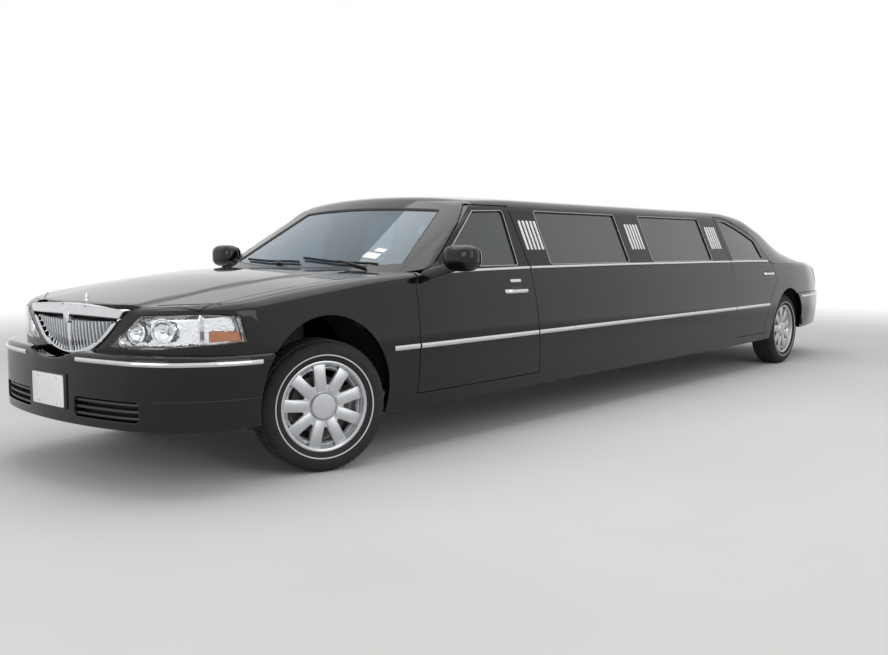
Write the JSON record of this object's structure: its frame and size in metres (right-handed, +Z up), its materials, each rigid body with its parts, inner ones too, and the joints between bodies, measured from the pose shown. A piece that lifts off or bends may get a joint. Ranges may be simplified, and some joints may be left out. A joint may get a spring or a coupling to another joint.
{
  "type": "stretch limousine",
  "caption": "Full-size saloon car lengthened behind its front doors: separate frame, opening doors, bonnet and boot lid, steered front wheels, turning road wheels.",
  "frame": {"origin": "on the ground, under the middle of the overall length and width", "axes": "+X forward along the car, +Y to the car's left, +Z up"},
  "size_m": [8.519, 2.389, 1.4988],
  "materials": {
    "paint": "high gloss black",
    "side_glass": "dark tinted",
    "screen_glass": "light blue-grey tint",
    "bright_trim": "polished",
    "lamp": "clear lens over a bright reflector",
    "tail_lamp": "red lens",
    "tyre_rubber": "matt with a thin white line",
    "wheel_silver": "satin",
    "frame_black": "satin black",
    "floor_carpet": "dark coated",
    "cast": "rough",
    "exhaust_steel": "dull",
    "trim_black": "grained",
    "seat_leather": "dark, stitched"
  },
  "bodies": {
    "body": {"cabin_seats": "seat_leather", "chassis_frame": "frame_black", "dashboard": "trim_black", "engine_block": "cast", "exhaust": "exhaust_steel", "fixed_glass": "screen_glass", "floor_pan": "floor_carpet", "front_bumper": "paint", "front_seats": "seat_leather", "front_suspension": "frame_black", "front_wings": "paint", "grille": "bright_trim", "headlamps": "lamp", "partition": "trim_black", "pillar_bars": "bright_trim", "propeller_shaft": "cast", "quarter_panels": "paint", "rear_axle": "cast", "rear_bumper": "paint", "roof_panel": "paint", "scuttle": "paint", "side_panels": "paint", "tail_lamps": "tail_lamp"},
    "bonnet": {"bonnet": "paint"},
    "boot_lid": {"boot_lid": "paint"},
    "front_door_left": {"front_door_left": "paint", "front_door_glass_left": "side_glass", "mirror_left": "paint"},
    "rear_door_left": {"rear_door_left": "paint", "rear_door_glass_left": "side_glass"},
    "knuckle_left": {"knuckle_left": "cast"},
    "front_wheel_left": {"front_tyre_left": "tyre_rubber", "front_rim_left": "wheel_silver"},
    "rear_wheel_left": {"rear_tyre_left": "tyre_rubber", "rear_rim_left": "wheel_silver"},
    "front_door_right": {"front_door_right": "paint", "front_door_glass_right": "side_glass", "mirror_right": "paint"},
    "rear_door_right": {"rear_door_right": "paint", "rear_door_glass_right": "side_glass"},
    "knuckle_right": {"knuckle_right": "cast"},
    "front_wheel_right": {"front_tyre_right": "tyre_rubber", "front_rim_right": "wheel_silver"},
    "rear_wheel_right": {"rear_tyre_right": "tyre_rubber", "rear_rim_right": "wheel_silver"}
  },
  "joints": [
    {"name": "bonnet_hinge", "type": "hinge", "parent": "body", "child": "bonnet", "pos_m": [2.6745, 0, 1.0255], "axis": [0, -1, 0], "range_deg": [0, 58]},
    {"name": "boot_hinge", "type": "hinge", "parent": "body", "child": "boot_lid", "pos_m": [-3.4985, 0, 1.019], "axis": [0, 1, 0], "range_deg": [0, 75]},
    {"name": "front_door_left_hinge", "type": "hinge", "parent": "body", "child": "front_door_left", "pos_m": [2.6145, 0.976, 0.6], "axis": [0, 0, -1], "range_deg": [0, 68]},
    {"name": "rear_door_left_hinge", "type": "hinge", "parent": "body", "child": "rear_door_left", "pos_m": [-1.5335, 0.985, 0.6], "axis": [0, 0, -1], "range_deg": [0, 70]},
    {"name": "front_door_right_hinge", "type": "hinge", "parent": "body", "child": "front_door_right", "pos_m": [2.6145, -0.976, 0.6], "axis": [0, 0, 1], "range_deg": [0, 68]},
    {"name": "rear_door_right_hinge", "type": "hinge", "parent": "body", "child": "rear_door_right", "pos_m": [-1.5335, -0.985, 0.6], "axis": [0, 0, 1], "range_deg": [0, 70]},
    {"name": "steer_left", "type": "hinge", "parent": "body", "child": "knuckle_left", "pos_m": [3.1945, 0.739, 0.342], "axis": [0, 0, 1], "range_deg": [-15, 55]},
    {"name": "front_wheel_left_spin", "type": "hinge", "parent": "knuckle_left", "child": "front_wheel_left", "pos_m": [3.21707, 0.80102, 0.342], "axis": [0.342, 0.9397, 0], "continuous": true},
    {"name": "rear_wheel_left_spin", "type": "hinge", "parent": "body", "child": "rear_wheel_left", "pos_m": [-2.8435, 0.825, 0.342], "axis": [0, 1, 0], "continuous": true},
    {"name": "steer_right", "type": "hinge", "parent": "body", "child": "knuckle_right", "pos_m": [3.1945, -0.739, 0.342], "axis": [0, 0, 1], "range_deg": [-15, 55]},
    {"name": "front_wheel_right_spin", "type": "hinge", "parent": "knuckle_right", "child": "front_wheel_right", "pos_m": [3.17193, -0.80102, 0.342], "axis": [0.342, 0.9397, 0], "continuous": true},
    {"name": "rear_wheel_right_spin", "type": "hinge", "parent": "body", "child": "rear_wheel_right", "pos_m": [-2.8435, -0.825, 0.342], "axis": [0, 1, 0], "continuous": true}
  ],
  "couplings": [
    {"joint": "steer_right", "follows": "steer_left", "ratio": 1}
  ]
}
